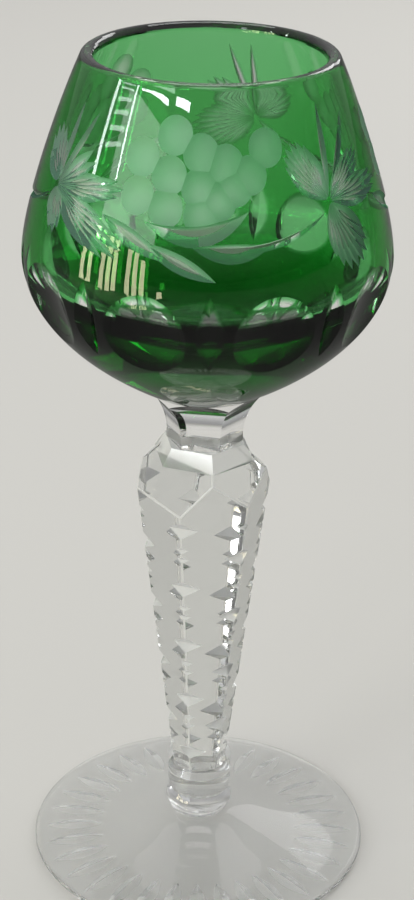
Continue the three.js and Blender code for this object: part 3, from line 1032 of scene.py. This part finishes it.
studio = {
    "floorColour": (0.55, 0.54, 0.51, 1.0),
    # painted shade: the floor is darker than it is where reflections and bounced light see it
    "floorShadeInReflections": (0.18, 0.18, 0.17, 1.0),
    "floorShaded": (0.02, 0.02, 0.02, 1.0),  # for light from a matt face that came through glass
    "glossGlow": 0.2,
    "floorSize": 20.0,
    "floorGap": 0.1,
    "floorRoughness": 0.9,
    "floorShine": 0.2,
    "backdrop": (0.6, 0.595, 0.565, 1.0),
    "roomDark": (0.03, 0.03, 0.03, 1.0),
    "roomLight": (0.62, 0.62, 0.62, 1.0),
    "darkFront": -0.2,  # the room is darkest in front of this
    "darkBack": 0.7,  # and has backDark of that darkness from here on
    "backDark": 0.5,
    "darkLow": 0.05,  # it is darkest below this, and light above darkHigh
    "darkHigh": 0.45,
    "aimHeight": 0.14,
}
daylight = (0.93, 0.97, 1.0)
white = (1.0, 1.0, 1.0)
lamps = (  # name, azimuth, distance, height, width, tall, roll, watts, colour
    ("windowBlind", -52.0, 1.25, 0.52, 0.9, 0.4, 0.0, 3.5, (0.95, 0.98, 1.0)),
    ("windowTop", -49.0, 1.1, 0.74, 0.52, 0.022, 5.0, 0.9, daylight),
    ("windowCorner", -23.0, 1.1, 0.78, 0.24, 0.035, 0.0, 0.65, daylight),
    ("windowEdge", -66.0, 1.1, 0.55, 0.025, 0.3, 0.0, 0.45, daylight),
    ("windowSide", -85.0, 1.1, 0.48, 0.05, 0.36, 0.0, 0.8, daylight),
    ("windowSky", -43.0, 1.1, 0.93, 0.45, 0.19, 0.0, 1.4, daylight),
    ("rightPanel", 150.0, 1.0, 0.76, 0.4, 0.36, 0.0, 2.1, white),
    ("rightLow", 152.0, 1.0, 0.42, 0.18, 0.3, 0.0, 0.45, white),
    ("overhead", 180.0, 0.8, 2.2, 1.2, 1.2, 0.0, 15.8, white),
)
slats = {
    "azimuth": -75.0,
    "distance": 1.1,
    "lowest": 0.46,
    "pitch": 0.04,
    "count": 7,
    "width": 0.26,
    "tall": 0.012,
    "roll": 14.0,
    "watts": 0.065,
}
bars = {
    "distance": 1.1,
    "width": 0.055,
    "wattsPerMetre": 1.6,
    "colour": (1.0, 0.9, 0.6),
    "places": (  # azimuth, height, tall
        (-79.5, 0.13, 0.22), (-74.0, 0.14, 0.24), (-65.0, 0.14, 0.28),
        (-60.5, 0.14, 0.3), (-56.5, 0.15, 0.27), (-47.5, 0.15, 0.26),
        (-43.0, 0.14, 0.29), (-38.5, 0.14, 0.24), (-27.5, 0.07, 0.06),
    ),
}


def lightPath(wire, output):
    return wire.node("ShaderNodeLightPath", output=output)


def makeFloor():
    deselectAll()
    bpy.ops.mesh.primitive_plane_add(
        size=studio["floorSize"], location=(0, 0, -studio["floorGap"] * mm))  # a hair of air below the foot
    floor = bpy.context.object
    floor.name = "floor"
    material, wire = newMaterial("paleFloor")
    seen = lightPath(wire, "Is Camera Ray")
    throughGlass = lightPath(wire, "Is Transmission Ray")
    afterMatt = wire.math("MINIMUM", lightPath(wire, "Diffuse Depth"), 1.0)
    afterGloss = wire.math("MINIMUM", lightPath(wire, "Glossy Depth"), 1.0)
    shaded = throughGlass * afterMatt * (1 - afterGloss * studio["glossGlow"])
    # the floor shows its pale colour to the camera and through glass, and its painted shade to everything
    # else
    pale = blend(wire, seen + throughGlass, studio["floorShadeInReflections"], studio["floorColour"])
    surface = wire.node("ShaderNodeBsdfPrincipled", None, {
        "Base Color": blend(wire, shaded, pale, studio["floorShaded"]),
        "Roughness": studio["floorRoughness"],
        "Specular IOR Level": studio["floorShine"],
    })
    wire.node("ShaderNodeOutputMaterial", None, {"Surface": surface})
    paint(floor, material)


def addPanel(name, azimuth, distance, z, width, tall, roll, watts, colour):
    turn = math.radians(azimuth)
    place = Vector((distance * math.sin(turn), -distance * math.cos(turn), z))
    deselectAll()
    bpy.ops.object.light_add(type="AREA", location=place)
    lamp = bpy.context.object
    lamp.name = name
    lamp.data.shape = "RECTANGLE"
    lamp.data.size = width
    lamp.data.size_y = tall
    lamp.data.energy = watts
    lamp.data.color = colour
    aim = (Vector((0, 0, studio["aimHeight"])) - place).to_track_quat("-Z", "Y").to_matrix()
    lamp.rotation_euler = (aim @ Matrix.Rotation(math.radians(roll), 3, "Z")).to_euler()


def makeLamps():
    for lamp in lamps:
        addPanel(*lamp)
    for step in range(slats["count"]):
        z = slats["lowest"] + slats["pitch"] * step
        addPanel(
            "slat", slats["azimuth"], slats["distance"], z, slats["width"], slats["tall"], slats["roll"],
            slats["watts"], daylight)
    for azimuth, z, tall in bars["places"]:
        addPanel(
            "warmBar", azimuth, bars["distance"], z, bars["width"], tall, 0.0,
            bars["wattsPerMetre"] * tall, bars["colour"])


def makeWorld():
    world = bpy.data.worlds.new("studio")
    bpy.context.scene.world = world
    world.use_nodes = True
    world.node_tree.nodes.clear()
    wire = Wire(world.node_tree)
    way = wire.node("ShaderNodeTexCoord", output="Generated")
    nearFront = wire.node("ShaderNodeMapRange", None, {
        "Value": wire.node("ShaderNodeSeparateXYZ", None, {"Vector": way}, output="Y"),
        "From Min": studio["darkFront"],
        "From Max": studio["darkBack"],
        "To Min": 1.0,
        "To Max": studio["backDark"],
    })
    nearFloor = wire.node("ShaderNodeMapRange", None, {
        "Value": wire.node("ShaderNodeSeparateXYZ", None, {"Vector": way}, output="Z"),
        "From Min": studio["darkLow"],
        "From Max": studio["darkHigh"],
        "To Min": 1.0,
        "To Max": 0.0,
    })
    room = blend(wire, 1 - nearFront * nearFloor, studio["roomDark"], studio["roomLight"])
    colour = blend(wire, lightPath(wire, "Is Camera Ray"), room, studio["backdrop"])
    light = wire.node("ShaderNodeBackground", None, {"Color": colour, "Strength": 1.0})
    wire.node("ShaderNodeOutputWorld", None, {"Surface": light})


camera = {
    "place": (0.0, -403.5, 288.4),
    "pitch": 25.22,
    "roll": 0.97,
    "yaw": 0.08,
    "lens": 83.4,
    "sensor": 36.0,
}


def makeCamera():
    deselectAll()
    bpy.ops.object.camera_add(location=Vector(camera["place"]) * mm)
    eye = bpy.context.object
    eye.name = "photoCamera"
    eye.data.lens = camera["lens"]
    eye.data.sensor_width = camera["sensor"]
    pitch = math.radians(camera["pitch"])
    yaw = math.radians(camera["yaw"])
    roll = math.radians(camera["roll"])
    ahead = Vector((math.sin(yaw) * math.cos(pitch), math.cos(yaw) * math.cos(pitch), -math.sin(pitch)))
    right = ahead.cross(Vector((0, 0, 1))).normalized()
    up = right.cross(ahead)
    tiltedRight = right * math.cos(roll) + up * math.sin(roll)
    tiltedUp = up * math.cos(roll) - right * math.sin(roll)
    eye.rotation_euler = Matrix((tiltedRight, tiltedUp, -ahead)).transposed().to_euler()
    bpy.context.scene.camera = eye


makeFloor()
makeLamps()
makeWorld()
makeCamera()
scene = bpy.context.scene
scene.view_settings.view_transform = "Standard"
scene.cycles.max_bounces = 28
scene.cycles.transmission_bounces = 28
scene.cycles.glossy_bounces = 12
scene.cycles.transparent_max_bounces = 64
print("studio ready")
